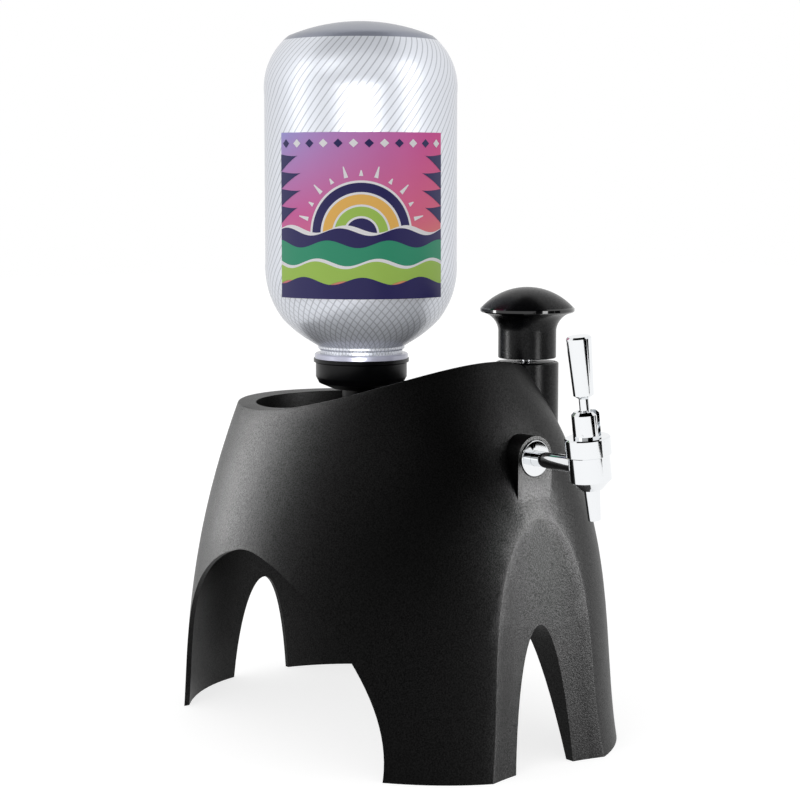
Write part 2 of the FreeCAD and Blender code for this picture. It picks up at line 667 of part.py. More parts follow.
# Pump
PUMP = {"x": "keg_x + pump_x", "y": "pump_y"}
spun("pump_tube", (("pump_bore_r", "pump_base_z"), ("pump_r", "pump_base_z"), ("pump_r", "pump_top_z - 0.8"),
                   ("pump_r - 0.8", "pump_top_z"), ("pump_bore_r", "pump_top_z")), **PUMP)
spun("pump_gland", (("rod_r + 0.06", "pump_top_z - 8"), ("pump_bore_r", "pump_top_z - 8"),
                    ("pump_bore_r", "pump_top_z - 0.6"), ("pump_bore_r - 1", "pump_top_z + 0.2"),
                    ("rod_r + 3", "pump_top_z + 0.2"), ("rod_r + 3", "pump_top_z - 3"),
                    ("rod_r + 0.06", "pump_top_z - 3")), **PUMP)
spun("gland_wiper", (("rod_r + 0.08", "pump_top_z - 3"), ("rod_r + 3", "pump_top_z - 3"),
                     ("rod_r + 3", "pump_top_z - 0.8"), ("rod_r + 0.6", "pump_top_z - 0.8"),
                     ("rod_r + 0.08", "pump_top_z - 1.6")), **PUMP)
spun("pump_clamp", (("pump_r", "sleeve_z - 5"), ("pump_r + 2.6", "sleeve_z - 5"), ("pump_r + 2.6", "sleeve_z"),
                    ("pump_r", "sleeve_z")), **PUMP)


def pump_foot():
    """Bottom cap of the pump with its outlet barb."""
    base = size("pump_base_z")
    aim = V(-size("pump_x"), -size("pump_y"), 0)
    aim.normalize()
    cap = rod(size("pump_r"), 12, V(0, 0, base - 12)).fuse(rod(size("pump_bore_r"), 3.5, V(0, 0, base)))
    cap = cap.makeChamfer(2.0, [e for e in cap.Edges if e.BoundBox.ZMax < base - 11.9])
    at = V(0, 0, base - 6)
    cap = cap.fuse(rod(size("barb_r"), size("pump_r") + 13, at, aim))
    cap = cap.cut(rod(8.0, 3, V(0, 0, base + 0.5)))
    cap = cap.cut(rod(3.0, 8, V(0, 0, base - 6)))
    return cap.cut(rod(size("barb_r") - 1.4, 60, at, aim))


keep("pump_foot", pump_foot(), **PUMP)
spun("foot_valve", (("0", "pump_base_z + 0.5"), ("7.6", "pump_base_z + 0.5"), ("7.6", "pump_base_z + 1.5"),
                    ("2", "pump_base_z + 2.2"), ("0", "pump_base_z + 2.2")), **PUMP)
spun("plunger_rod", (("0", PISTON + " - 3"), ("rod_r - 1", PISTON + " - 3"), ("rod_r - 1", PISTON + " + piston_h"),
                     ("rod_r", PISTON + " + piston_h"), ("rod_r", LIP_TOP), ("0", LIP_TOP)),
     **PUMP)
spun("piston", (("rod_r - 1", PISTON), ("pump_bore_r - 2.4", PISTON),
                ("pump_bore_r - 2.4", PISTON + " + piston_h - 2"), ("pump_bore_r - 0.5", PISTON + " + piston_h - 2"),
                ("pump_bore_r - 0.5", PISTON + " + piston_h"), ("rod_r - 1", PISTON + " + piston_h")), **PUMP)
spun("piston_seal", (("pump_bore_r - 2.4", PISTON), ("pump_bore_r - 0.9", PISTON),
                     ("pump_bore_r - 0.06", PISTON + " + 1.6"),
                     ("pump_bore_r - 0.06", PISTON + " + piston_h - 2"),
                     ("pump_bore_r - 2.4", PISTON + " + piston_h - 2")), **PUMP)


def hex_nut(flats, height, bore, low):
    """Chamfered hexagon nut standing on a level."""
    radius = flats / math.sqrt(3)
    ring = [V(radius * math.cos(math.radians(60 * i)), radius * math.sin(math.radians(60 * i)), low)
            for i in range(7)]
    nut = Part.Face(Part.makePolygon(ring)).extrude(V(0, 0, height))
    crown = Part.makeCone(radius + height * 0.9, flats / 2 * 0.95, height * 1.2, V(0, 0, low - height * 0.2))
    return nut.common(crown).cut(rod(bore, height + 2, V(0, 0, low - 1)))


keep("piston_nut", hex_nut(10.0, 3.0, size("rod_r") - 1, value(PISTON) - 3), **PUMP)
spun("knob_grip", (("rod_r", FLARE), ("skirt_r - 2.6", FLARE), ("skirt_r - 2.6", SKIRT),
                   ("skirt_r - 0.5", SKIRT), ("skirt_r", SKIRT + " + 0.5"), ("skirt_r", FLARE),
                   ("lip_r - 1.6", LIP), ("lip_r - 3.4", LIP), ("lip_r - 3.4", LIP + " + 0.2"),
                   ("rod_r", LIP + " + 0.2")), curves={5: "-14.2"}, **PUMP)
spun("knob_ring", (("lip_r - 3.4", LIP + " + 0.2"), ("lip_r - 0.9", LIP), ("lip_r", LIP + " + 0.9"),
                   ("lip_r", LIP_TOP + " - 0.9"), ("lip_r - 0.8", LIP_TOP),
                   ("lip_r - 3.4", LIP_TOP)), **PUMP)
spun("knob_cap", (("rod_r", LIP + " + 0.2"), ("lip_r - 3.4", LIP + " + 0.2"), ("lip_r - 3.4", LIP_TOP),
                  ("lip_r - 1.2", LIP_TOP), ("0", KNOB_TOP), ("0", LIP_TOP),
                  ("rod_r", LIP_TOP)), curves={3: "cap"}, **PUMP)

# Tap
LEAN = FreeCAD.Rotation(V(1, 0, 0), size("tap_lean"))
TURN = FreeCAD.Rotation(V(0, 0, 1), size("tap_turn"))


def tap_place(item, turned_round=False):
    """Put a tap part on the shank axis, leaned with the tap."""
    turn = LEAN.multiply(TURN) if turned_round else LEAN
    item.Placement = FreeCAD.Placement(V(size("keg_x") + size("tap_x"), 0, size("shank_z")), turn)
    return item


def shank():
    """Threaded shank from the tap chamber to the hose tail inside the stand."""
    front, pad = size("tap_x") - size("tap_chamber_r"), size("pad_x")
    ahead = V(1, 0, 0)
    bar = Part.makeCone(5.1, 5.7, front - pad + 1.2, V(pad - 1.2, 0, 0), ahead)
    bar = bar.fuse(rod(5.1, 20, V(pad - 21, 0, 0), ahead))
    bar = bar.fuse(rod(size("barb_r"), 30, V(pad - 46, 0, 0), ahead))
    for turn in range(9):
        groove = rod(5.4, 0.6, V(pad - 20 + turn * 1.5, 0, 0), ahead).cut(
            rod(4.75, 0.6, V(pad - 20 + turn * 1.5, 0, 0), ahead))
        bar = bar.cut(groove)
    return bar.cut(rod(2.4, 200, V(pad - 60, 0, 0), ahead))


keep("tap_shank", shank(), z="shank_z")


def disc(radius, bore, back, front):
    """Washer round the shank axis."""
    return rod(radius, front - back, V(back, 0, 0), V(1, 0, 0)).cut(
        rod(bore, front - back + 2, V(back - 1, 0, 0), V(1, 0, 0)))


def flange():
    """Domed escutcheon in the counterbore of the pad."""
    pad = size("pad_x")
    plate = disc(12.1, 5.2, pad - 1.2, pad + 1.0)
    return plate.makeFillet(0.7, [e for e in plate.Edges if e.BoundBox.XMin > pad + 0.9
                                  and e.BoundBox.YLength > 20])


def back_nut():
    """Hexagon nut behind the pad."""
    nut = hex_nut(17.0, 6.0, 5.1, 0.0)
    nut.rotate(V(0, 0, 0), V(0, 1, 0), 90)
    nut.translate(V(size("pad_x") - 12.0, 0, 0))
    return nut


keep("shank_flange", flange(), z="shank_z")
keep("shank_gasket", disc(9.0, 5.1, size("pad_x") - 6.0, size("pad_x") - 4.6), z="shank_z")
keep("shank_nut", back_nut(), z="shank_z")


def tap_body():
    """Lower body: chamber, valve seat and side entry."""
    r, seam = size("tap_body_r"), size("tap_seam_z")
    low, end = size("tap_body_low"), size("tap_body_end")
    shape = rod(r, seam - low, V(0, 0, low)).fuse(Part.makeCone(7.4, r, low - end, V(0, 0, end)))
    shape = shape.cut(rod(size("tap_chamber_r"), 40, V(0, 0, -4)))
    shape = shape.cut(rod(4.2, 40, V(0, 0, -6.4))).cut(rod(6.2, 30, V(0, 0, -6.2 - 30)))
    return shape.cut(rod(5.72, 60, V(0, 0, 0), V(-1, 0, 0)))


def nozzle():
    """Screwed-in spout with its spring ledge."""
    end, body_end = size("nozzle_end"), size("tap_body_end")
    wide, slim = size("nozzle_r"), size("nozzle_tip_r")
    shape = rod(6.2, 1.6, V(0, 0, body_end))
    shape = shape.fuse(Part.makeCone(slim, wide, body_end - end, V(0, 0, end)))
    shape = shape.cut(rod(2.9, 60, V(0, 0, end - 5)))
    return shape.makeFillet(0.4, [e for e in shape.Edges if e.BoundBox.ZMax < end + 0.1
                                  and e.BoundBox.XLength > slim * 1.9])


tap_place(made("tap_body", tap_body()))
tap_place(made("tap_nozzle", nozzle()))
tap_place(turned("tap_collar", (
    ("stem_r + 0.06", "tap_seam_z + 3"), ("tap_chamber_r", "tap_seam_z + 3"),
    ("tap_chamber_r", "tap_seam_z"), ("tap_collar_r - 0.5", "tap_seam_z"),
    ("tap_collar_r", "tap_seam_z + 0.5"), ("tap_collar_r", "tap_collar_top - 0.8"),
    ("tap_collar_r - 0.8", "tap_collar_top"), ("bonnet_r", "tap_collar_top"), ("bonnet_r", "bonnet_seat"),
    ("stem_r + 2.2", "bonnet_seat"), ("stem_r + 2.2", "bonnet_seat - 2.4"),
    ("stem_r + 0.06", "bonnet_seat - 2.4"))))
tap_place(turned("stem_seal", (
    ("stem_r + 0.06", "bonnet_seat - 2.4"), ("stem_r + 2.2", "bonnet_seat - 2.4"),
    ("stem_r + 2.2", "bonnet_seat - 0.4"), ("stem_r + 0.06", "bonnet_seat - 0.4"))))


def bonnet():
    """Bonnet with its front slot, bore and cross hole for the pin."""
    seat, top, r = size("bonnet_seat"), size("bonnet_top"), size("bonnet_r")
    shape = rod(r, top - seat, V(0, 0, seat))
    shape = shape.makeChamfer(2.0, [e for e in shape.Edges if e.BoundBox.ZMin > top - 0.1])
    shape = shape.cut(rod(6.0, 16, V(0, 0, seat - 1)))
    slot = size("slot_w")
    shape = shape.cut(Part.makeBox(r + 6, slot, 30, V(-4.2, -slot / 2, seat + 5.6)))
    return shape.cut(rod(size("pin_r"), 40, V(0, -20, size("pin_z")), V(0, 1, 0)))


def lever():
    """Lever: eccentric foot, slim neck and tapered grip, turned from bar."""
    pin, low, top = size("pin_z"), size("grip_low"), size("grip_top")
    neck, cam = size("neck_r"), size("cam_r")
    thick = size("slot_w") - 0.6
    a = V(0, -thick / 2, pin)
    foot = rod(cam, thick, a, V(0, 1, 0)).fuse(rod(cam, thick, a + V(size("cam_e"), 0, 0), V(0, 1, 0)))
    foot = foot.fuse(Part.makeBox(2 * neck, thick, size("bonnet_top") - 1 - pin, a - V(neck, 0, 0)))
    start = size("bonnet_top") - 1.6
    stem = rod(neck, low - start, V(0, 0, start)).common(
        Part.makeBox(40, thick + 20, 60, V(-20, -thick / 2 - 10, start)))
    grip = Part.makeCone(neck, size("grip_low_r"), 2.2, V(0, 0, low - 1.4))
    grip = grip.fuse(Part.makeCone(size("grip_low_r"), size("grip_top_r"), top - low - 2.0, V(0, 0, low + 0.8)))
    grip = grip.fuse(Part.makeCone(size("grip_top_r"), size("grip_top_r") - 1.2, 1.2, V(0, 0, top - 1.2)))
    shape = foot.fuse(stem).fuse(grip)
    return shape.cut(rod(size("pin_r") + 0.05, 40, V(0, -20, pin), V(0, 1, 0)))


tap_place(made("tap_bonnet", bonnet()), True)
tap_place(made("tap_lever", lever()), True)
tap_place(made("lever_pin", rod(size("pin_r"), 2 * size("bonnet_r") - 0.8,
                                V(0, 0.4 - size("bonnet_r"), size("pin_z")), V(0, 1, 0))), True)
tap_place(turned("valve_stem", (
    ("0", "-8.1"), ("3.6", "-8.1"), ("5.2", "-7.9"), ("5.2", "-7"), ("1.5", "-7"), ("1.5", "-4"),
    ("stem_r", "-4"), ("stem_r", "bonnet_seat + 1"), ("4.6", "bonnet_seat + 2.4"),
    ("4.6", "pin_z - cam_r - 0.1"), ("0", "pin_z - cam_r - 0.1"))))
tap_place(turned("valve_washer", (("1.5", "-7"), ("5.2", "-7"), ("5.2", "-6.3"), ("1.5", "-6.3"))))


def biarc(a, out, b, into):
    """Two tangent arcs from point a, leaving along 'out', to point b, arriving along 'into'."""
    chord, both = b - a, out + into
    spread = 2 * (1 - out.dot(into))
    reach = (math.sqrt(chord.dot(both) ** 2 + spread * chord.dot(chord)) - chord.dot(both)) / spread
    join = (a + b + (out - into) * reach) * 0.5
    arcs = []
    for start, end, corner in ((a, join, a + out * reach), (join, b, b - into * reach)):
        half_turn = (corner - start).getAngle(end - corner) / 2
        middle = (start + end) * 0.5
        crest = middle + (corner - middle) * (math.cos(half_turn) / (1 + math.cos(half_turn)))
        arcs.append(Part.Arc(start, crest, end).toShape())
    return arcs


def coil(radius, wire, low, high, turns):
    """Compression spring, its quarter turns drawn as pairs of arcs."""
    rise = (high - low - 2 * wire) / turns
    edges = []

    def station(quarter):
        """Point and direction of the wire after so many quarter turns."""
        turn = math.radians(90 * quarter)
        at = V(radius * math.cos(turn), radius * math.sin(turn), low + wire + rise * quarter / 4)
        along = V(-radius * math.sin(turn), radius * math.cos(turn), rise / (2 * math.pi))
        along.normalize()
        return at, along

    for quarter in range(int(round(turns * 4))):
        (a, out), (b, into) = station(quarter), station(quarter + 1)
        edges += biarc(a, out, b, into)
    start, ahead = station(0)
    ring = Part.Wire(Part.makeCircle(wire, start, ahead))
    return Part.Wire(edges).makePipeShell([ring], True, False)


tap_place(made("valve_spring", coil(4.2, 0.4, size("tap_body_end") + 1.6, -8.1, 2.5)))

# Keg
spun("keg_bottle", (
    ("keg_neck_r", "cap_z + 15"), ("keg_neck_r", CAP_TOP + " + 6"),
    ("keg_neck_r + 1.6", CAP_TOP + " + 7.4"), ("keg_neck_r + 1.6", CAP_TOP + " + 9"),
    ("keg_neck_r + keg_root_out", CAP_TOP + " + keg_root_h"),
    ("keg_r - keg_swell_in", CAP_TOP + " + keg_swell_h"), ("keg_r", CAP_TOP + " + keg_shoulder_h"),
    ("keg_r", BEND), ("keg_r - keg_crown_in", "keg_top_z - keg_crown_drop"),
    ("0", "keg_top_z"), ("0", "keg_top_z - keg_wall"),
    ("keg_r - keg_crown_in - keg_wall", "keg_top_z - keg_crown_drop - keg_wall"),
    ("keg_r - keg_wall", BEND), ("keg_r - keg_wall", CAP_TOP + " + keg_shoulder_h"),
    ("keg_r - keg_swell_in - 1", CAP_TOP + " + keg_swell_h + 0.8"),
    ("keg_neck_r + keg_root_out - 0.4", CAP_TOP + " + keg_root_h + 1.4"),
    ("keg_neck_r - 1.6", CAP_TOP + " + 9"), ("keg_neck_r - 1.6", "cap_z + 15")),
     curves={4: "90", 5: "62", 7: "47", 8: "cap", 10: "-cap", 11: "-46", 13: "-61", 14: "-89"})
spun("neck_ring", (("keg_neck_r", CAP_TOP), ("keg_neck_r + 4.1", CAP_TOP),
                   ("keg_neck_r + 4.1", CAP_TOP + " + 2.9"), ("keg_neck_r + 3.3", CAP_TOP + " + 3.7"),
                   ("keg_neck_r", CAP_TOP + " + 3.7")))
spun("keg_cap", (
    ("14.15", "cap_z"), ("20.4", "cap_z"), ("cap_r - 2.4", "cap_z + 4.4"), ("cap_r", "cap_z + 9"),
    ("cap_r", CAP_TOP + " - 3.4"), ("cap_r + 1.5", CAP_TOP + " - 2.6"), ("cap_r + 1.5", CAP_TOP),
    ("keg_neck_r", CAP_TOP), ("keg_neck_r", "cap_z + 13.2"), ("spear_r + 0.4", "cap_z + 13.2"),
    ("spear_r + 0.4", "cap_z + 10.1"), ("14.15", "cap_z + 10.1")))
spun("cap_grommet", (("spear_r + 0.3", "cap_z + 13.2"), ("12", "cap_z + 13.2"), ("12", "cap_z + 15.2"),
                     ("8", "cap_z + 17"), ("spear_r + 0.3", "cap_z + 17")))
label_body = turned("keg_label", (
    ("keg_r + label_gap", LABEL_TOP + " - label_h"), ("keg_r + label_gap + label_t", LABEL_TOP + " - label_h"),
    ("keg_r + label_gap + label_t", LABEL_TOP), ("keg_r + label_gap", LABEL_TOP)), angle="label_angle")
label_body.Placement = FreeCAD.Placement(V(size("keg_x"), 0, 0), FreeCAD.Rotation(V(0, 0, 1), size("label_turn")))
locate(label_body)

doc.recompute()
NODES = ("base_shell", "well_liner", "liner_screws", "coupler_body", "coupler_nut", "coupler_seal", "spear",
         "beer_elbow", "air_valve", "air_hose", "beer_hose", "hose_clips", "pump_tube", "pump_gland",
         "gland_wiper", "pump_clamp", "pump_foot", "foot_valve", "plunger_rod", "piston", "piston_seal",
         "piston_nut", "knob_grip", "knob_ring", "knob_cap", "tap_shank", "shank_flange", "shank_gasket",
         "shank_nut", "tap_body", "tap_nozzle", "tap_collar", "stem_seal", "tap_bonnet", "tap_lever",
         "lever_pin", "valve_stem", "valve_washer", "valve_spring", "keg_bottle", "neck_ring", "keg_cap",
         "cap_grommet", "keg_label")
for item in doc.Objects:
    if any(word in item.State for word in ("Invalid", "Error")):
        raise RuntimeError("not built: " + item.Label)
for name in NODES:
    item = doc.getObjectsByLabel(name)[0]
    shape = item.Shape
    if shape.isNull() or not shape.isValid() or shape.Volume <= 0:
        raise RuntimeError("bad shape: " + name)
    shape.exportStep("parts/%s.step" % name)
    box = shape.BoundBox
    print("%-13s %10.0f mm3  x %7.1f %7.1f  y %7.1f %7.1f  z %6.1f %6.1f  solids %d" % (
        name, shape.Volume, box.XMin, box.XMax, box.YMin, box.YMax, box.ZMin, box.ZMax, len(shape.Solids)))
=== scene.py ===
"""Counter-top keg dispenser in its studio: domed stand, keg, hand pump and lever tap."""

import logging
import math
from dataclasses import dataclass
from enum import Enum
from typing import Sequence

import bpy
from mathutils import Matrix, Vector


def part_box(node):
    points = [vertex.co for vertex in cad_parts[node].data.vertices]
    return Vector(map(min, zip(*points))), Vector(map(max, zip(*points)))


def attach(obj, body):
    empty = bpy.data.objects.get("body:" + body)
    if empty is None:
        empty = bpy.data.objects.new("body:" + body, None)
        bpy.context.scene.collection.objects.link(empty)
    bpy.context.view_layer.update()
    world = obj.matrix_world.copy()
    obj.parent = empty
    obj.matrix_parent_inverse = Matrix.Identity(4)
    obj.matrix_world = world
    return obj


LOG = logging.getLogger("dispenser")
MM = 0.001
Colour = tuple[float, float, float, float]
Point = tuple[float, float, float]
Spot = tuple[float, float]
SEAM_GAP = 0.000002  # points of two faces closer than this are one point
SHARP_ANGLE = math.radians(28)  # edges over this angle stay sharp
GRAIN_LOW, GRAIN_HIGH = 0.36, 0.64  # usual least and most of the grain's noise
CLOUD_MM = 40.0  # width of the slow change in shine over a surface
LABEL_START, LABEL_END = -90.0, 16.0  # bearings of the label's two edges round the keg, in degrees


def linear(code: str) -> Colour:
    """Turn an sRGB hex code into a linear colour.

    Args:
        code: Six hex digits after a hash sign.

    Returns:
        Red, green, blue and full opacity.
    """
    parts = [int(code[i:i + 2], 16) / 255 for i in (1, 3, 5)]
    flat = [c / 12.92 if c <= 0.04045 else ((c + 0.055) / 1.055) ** 2.4 for c in parts]
    return (flat[0], flat[1], flat[2], 1.0)


def add_node(tree: bpy.types.NodeTree, kind: str, settings: dict | None = None,
             **links: object) -> bpy.types.Node:
    """Add one node with its settings and links.

    Args:
        tree: Node tree that takes the node.
        kind: Blender's name of the node type.
        settings: Values by attribute name, or by input name or number.
        links: Inputs by name, spaces written as underscores, or as in0, in1 by number; each takes an
            output socket.

    Returns:
        The new node.
    """
    node = tree.nodes.new(kind)
    for key, setting in (settings or {}).items():
        if isinstance(key, str) and hasattr(node, key):
            setattr(node, key, setting)
        else:
            node.inputs[key].default_value = setting
    for key, socket in links.items():
        name: str | int = int(key[2:]) if key[:2] == "in" and key[2:].isdigit() else key.replace("_", " ")
        tree.links.new(socket, node.inputs[name])
    return node


def seam_smoother() -> bpy.types.GeometryNodeTree:
    """Make the node group that joins a CAD mesh's seams and shades it smoothly up to its sharp edges.

    Returns:
        The group, made once and used by every node.
    """
    made = bpy.data.node_groups.get("seam_smoother")
    if made:
        return made
    group = bpy.data.node_groups.new("seam_smoother", "GeometryNodeTree")
    for way in ("INPUT", "OUTPUT"):
        group.interface.new_socket("Geometry", in_out=way, socket_type="NodeSocketGeometry")
    start = add_node(group, "NodeGroupInput")
    plain = add_node(group, "GeometryNodeRemoveAttribute", {"Name": "custom_normal"},
                     Geometry=start.outputs[0])
    weld = add_node(group, "GeometryNodeMergeByDistance", {"Distance": SEAM_GAP}, Geometry=plain.outputs[0])
    faces = add_node(group, "GeometryNodeSetShadeSmooth", {"domain": "FACE", "Shade Smooth": True},
                     Geometry=weld.outputs[0])
    angle = add_node(group, "GeometryNodeInputMeshEdgeAngle")
    sharp = add_node(group, "FunctionNodeCompare", {"operation": "GREATER_THAN", 1: SHARP_ANGLE},
                     in0=angle.outputs[0])
    edges = add_node(group, "GeometryNodeSetShadeSmooth", {"domain": "EDGE", "Shade Smooth": False},
                     Geometry=faces.outputs[0], Selection=sharp.outputs[0])
    add_node(group, "NodeGroupOutput", Geometry=edges.outputs[0])
    return group


def keg_axis() -> Vector:
    """Point on the floor under the axis of the keg, read from the neck ring."""
    low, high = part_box("neck_ring")
    return Vector(((low[0] + high[0]) / 2, (low[1] + high[1]) / 2, 0.0))


def round_keg(tree: bpy.types.NodeTree, place: bpy.types.Node) -> tuple[bpy.types.Node, bpy.types.Node]:
    """Bearing round the keg's axis, and the place from that axis.

    Args:
        tree: Node tree of the material.
        place: Texture coordinates of the surface.

    Returns:
        Node of the bearing in radians, and node with the separate coordinates.
    """
    shifted = add_node(tree, "ShaderNodeVectorMath", {"operation": "SUBTRACT", 1: keg_axis()},
                       in0=place.outputs["Object"])
    parts = add_node(tree, "ShaderNodeSeparateXYZ", in0=shifted.outputs[0])
    turn = add_node(tree, "ShaderNodeMath", {"operation": "ARCTAN2"}, in0=parts.outputs[1],
                    in1=parts.outputs[0])
    return turn, parts


def seen_level(tree: bpy.types.NodeTree) -> bpy.types.Node:
    """Add the nodes that tell what looks at a surface.

    Args:
        tree: Node tree that takes the nodes.

    Returns:
        Node that is 1 for the camera, reflections and clear things, and 0 for plain light.
    """
    paths = add_node(tree, "ShaderNodeLightPath")
    shine = add_node(tree, "ShaderNodeMath", {"operation": "MAXIMUM"},
                     in0=paths.outputs["Is Camera Ray"], in1=paths.outputs["Is Glossy Ray"])
    return add_node(tree, "ShaderNodeMath", {"operation": "MAXIMUM"}, in0=shine.outputs[0],
                    in1=paths.outputs["Is Transmission Ray"])


# Finishes
@dataclass(frozen=True)
class Finish:
    """A plain finish: one colour, a shine and a fine relief.

    Attributes: the relief has its grain and depth in millimetres, wander is the slow change of the
    roughness, and spark the share by which single grains shine more or less.
    """

    name: str
    colour: str
    rough: float
    metal: float = 0.0
    specular: float = 0.5
    grain_mm: float = 0.0
    relief_mm: float = 0.0
    wander: float = 0.0
    coat: float = 0.0
    clear: float = 0.0
    spark: float = 0.0

    def tone(self, tree: bpy.types.NodeTree, place: bpy.types.Node) -> bpy.types.NodeSocket | None:
        """Colour of the surface where it varies; None keeps the flat colour."""
        return None

    def build(self) -> bpy.types.Material:
        """Make the material, or hand back the one already made.

        Returns:
            The material of this finish.
        """
        made = bpy.data.materials.get(self.name)
        if made:
            return made
        material = bpy.data.materials.new(self.name)
        material.use_nodes = True
        tree = material.node_tree
        shader = tree.nodes["Principled BSDF"]
        shader.inputs["Base Color"].default_value = linear(self.colour)
        shader.inputs["Roughness"].default_value = self.rough
        shader.inputs["Metallic"].default_value = self.metal
        shader.inputs["Specular IOR Level"].default_value = self.specular
        shader.inputs["Coat Weight"].default_value = self.coat
        shader.inputs["Transmission Weight"].default_value = self.clear
        place = add_node(tree, "ShaderNodeTexCoord")
        if self.grain_mm:
            grain = add_node(tree, "ShaderNodeTexNoise",
                             {"Scale": 1 / (self.grain_mm * MM), "Detail": 2.0, "Roughness": 0.6},
                             Vector=place.outputs["Object"])
            bump = add_node(tree, "ShaderNodeBump", {"Strength": 1.0, "Distance": self.relief_mm * MM},
                            Height=grain.outputs[0])
            tree.links.new(bump.outputs[0], shader.inputs["Normal"])
            if self.spark:
                glint = add_node(tree, "ShaderNodeMapRange",
                                 {"From Min": GRAIN_LOW, "From Max": GRAIN_HIGH,
                                  "To Min": self.specular * (1 - self.spark),
                                  "To Max": self.specular * (1 + self.spark)}, Value=grain.outputs[0])
                tree.links.new(glint.outputs[0], shader.inputs["Specular IOR Level"])
        if self.wander:
            cloud = add_node(tree, "ShaderNodeTexNoise", {"Scale": 1 / (CLOUD_MM * MM), "Detail": 3.0},
                             Vector=place.outputs["Object"])
            spread = add_node(tree, "ShaderNodeMapRange",
                              {"To Min": self.rough - self.wander, "To Max": self.rough + self.wander},
                              Value=cloud.outputs[0])
            tree.links.new(spread.outputs[0], shader.inputs["Roughness"])
        tone = self.tone(tree, place)
        if tone is not None:
            tree.links.new(tone, shader.inputs["Base Color"])
        return material


@dataclass(frozen=True)
class NetFilm(Finish):
    """Silver film with a fine dark net of crossing helical lines, plain on the crown.

    The pitch is drawn coarser than on real film, so that single lines can be seen.
    """

    line: str = "#4a4e58"
    crown: str = "#7d818d"
    pitch_mm: float = 4.6
    width: float = 0.2
    depth: float = 0.42
    radius_mm: float = 69.4
    crown_z_mm: float = 488.0
    cross_top_mm: float = 330.0
    cross_fade_mm: float = 40.0
    cross_share: float = 0.9
    leans: tuple[float, float] = (38.0, -52.0)

    def tone(self, tree: bpy.types.NodeTree, place: bpy.types.Node) -> bpy.types.NodeSocket:
        """Draw the net; its second family of lines fades out upwards.

        Args:
            tree: Node tree of the material.
            place: Texture coordinates of the surface.

        Returns:
            Output with the colour of the film.
        """
        turn, parts = round_keg(tree, place)
        around = add_node(tree, "ShaderNodeMath", {"operation": "MULTIPLY", 1: self.radius_mm * MM},
                          in0=turn.outputs[0])
        lines = []
        for lean_deg in self.leans:
            lean = math.radians(lean_deg)
            flat = add_node(tree, "ShaderNodeMath", {"operation": "MULTIPLY", 1: math.cos(lean)},
                            in0=around.outputs[0])
            steep = add_node(tree, "ShaderNodeMath", {"operation": "MULTIPLY", 1: -math.sin(lean)},
                             in0=parts.outputs[2])
            run = add_node(tree, "ShaderNodeMath", {"operation": "ADD"}, in0=flat.outputs[0],
                           in1=steep.outputs[0])
            beat = add_node(tree, "ShaderNodeMath", {"operation": "DIVIDE", 1: self.pitch_mm * MM},
                            in0=run.outputs[0])
            part = add_node(tree, "ShaderNodeMath", {"operation": "FRACT"}, in0=beat.outputs[0])
            line = add_node(tree, "ShaderNodeMath", {"operation": "LESS_THAN", 1: self.width},
                            in0=part.outputs[0])
            lines.append(line)
        fade = add_node(tree, "ShaderNodeMapRange",
                        {"From Min": self.cross_top_mm * MM,
                         "From Max": (self.cross_top_mm - self.cross_fade_mm) * MM,
                         "To Min": 0.0, "To Max": self.cross_share}, Value=parts.outputs[2])
        second = add_node(tree, "ShaderNodeMath", {"operation": "MULTIPLY"}, in0=lines[1].outputs[0],
                          in1=fade.outputs[0])
        net = add_node(tree, "ShaderNodeMath", {"operation": "MAXIMUM"}, in0=lines[0].outputs[0],
                       in1=second.outputs[0])
        soft = add_node(tree, "ShaderNodeMath", {"operation": "MULTIPLY", 1: self.depth}, in0=net.outputs[0])
        film = add_node(tree, "ShaderNodeMix", {"data_type": "RGBA"})
        film.inputs[6].default_value = linear(self.colour)
        film.inputs[7].default_value = linear(self.line)
        tree.links.new(soft.outputs[0], film.inputs[0])
        top = add_node(tree, "ShaderNodeMath", {"operation": "GREATER_THAN", 1: self.crown_z_mm * MM},
                       in0=parts.outputs[2])
        whole = add_node(tree, "ShaderNodeMix", {"data_type": "RGBA"})
        whole.inputs[7].default_value = linear(self.crown)
        tree.links.new(film.outputs[2], whole.inputs[6])
        tree.links.new(top.outputs[0], whole.inputs[0])
        return whole.outputs[2]


@dataclass(frozen=True)
class LabelPaper(Finish):
    """Printed label stock whose colour runs from lavender through pink to orange."""

    left: tuple[str, str, str] = ("#f08a86", "#d868ac", "#a9a4e6")
    right: tuple[str, str, str] = ("#f9b65c", "#f0708c", "#e6489c")

    def tone(self, tree: bpy.types.NodeTree, place: bpy.types.Node) -> bpy.types.NodeSocket:
        """Colour the paper by its place on the label, from three tones up each side.

        Args:
            tree: Node tree of the material.
            place: Texture coordinates of the surface.

        Returns:
            Output with the colour of the paper.
        """
        low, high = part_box("keg_label")
        turn, parts = round_keg(tree, place)
        across = add_node(tree, "ShaderNodeMapRange",
                          {"From Min": math.radians(LABEL_START), "From Max": math.radians(LABEL_END)},
                          Value=turn.outputs[0])
        up = add_node(tree, "ShaderNodeMapRange", {"From Min": low[2], "From Max": high[2]},
                      Value=parts.outputs[2])
        sides = []
        for tones in (self.left, self.right):
            ramp = add_node(tree, "ShaderNodeValToRGB", Fac=up.outputs[0])
            ramp.color_ramp.elements.new(0.5)
            for element, code in zip(ramp.color_ramp.elements, tones):
                element.color = linear(code)
            sides.append(ramp)
        paper = add_node(tree, "ShaderNodeMix", {"data_type": "RGBA"}, in0=across.outputs[0],
                         in6=sides[0].outputs[0], in7=sides[1].outputs[0])
        return paper.outputs[2]


